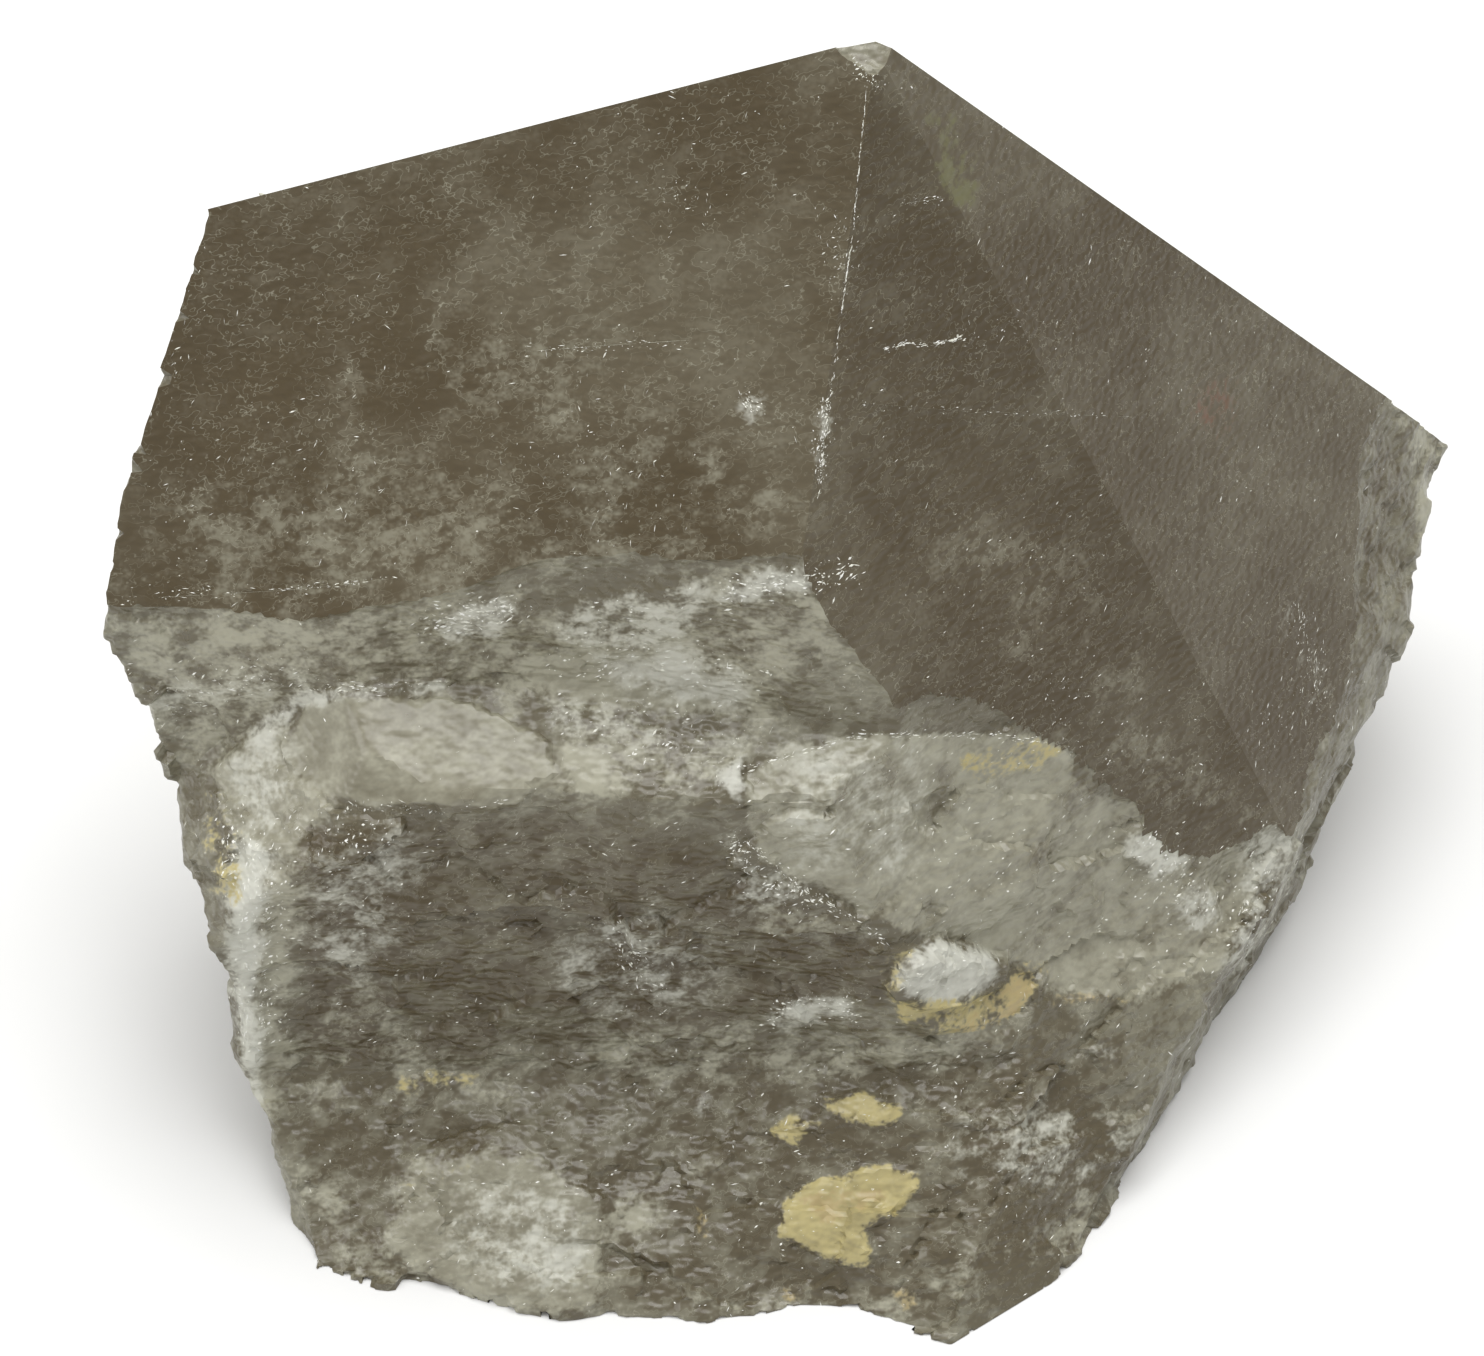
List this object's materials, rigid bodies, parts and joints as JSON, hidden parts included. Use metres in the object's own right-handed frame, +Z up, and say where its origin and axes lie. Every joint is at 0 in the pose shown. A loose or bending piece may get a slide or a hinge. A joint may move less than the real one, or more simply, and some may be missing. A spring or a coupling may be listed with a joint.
{
  "type": "smoky quartz crystal",
  "caption": "Stubby smoky quartz crystal point with smooth sloping faces above a rough broken lower end, standing free on its base.",
  "frame": {"origin": "middle of the bounding box in plan, at the level of the flat base it stands on", "axes": "+X to the right as seen from the front, +Y to the back, +Z up from the base; the large smooth face looks to the front"},
  "size_m": [0.0818, 0.0608, 0.0676],
  "materials": {
    "smoky_quartz": "etched, cloudy, partly see-through brown stone with broken areas"
  },
  "bodies": {
    "root": {"quartz_crystal": "smoky_quartz"}
  },
  "joints": []
}
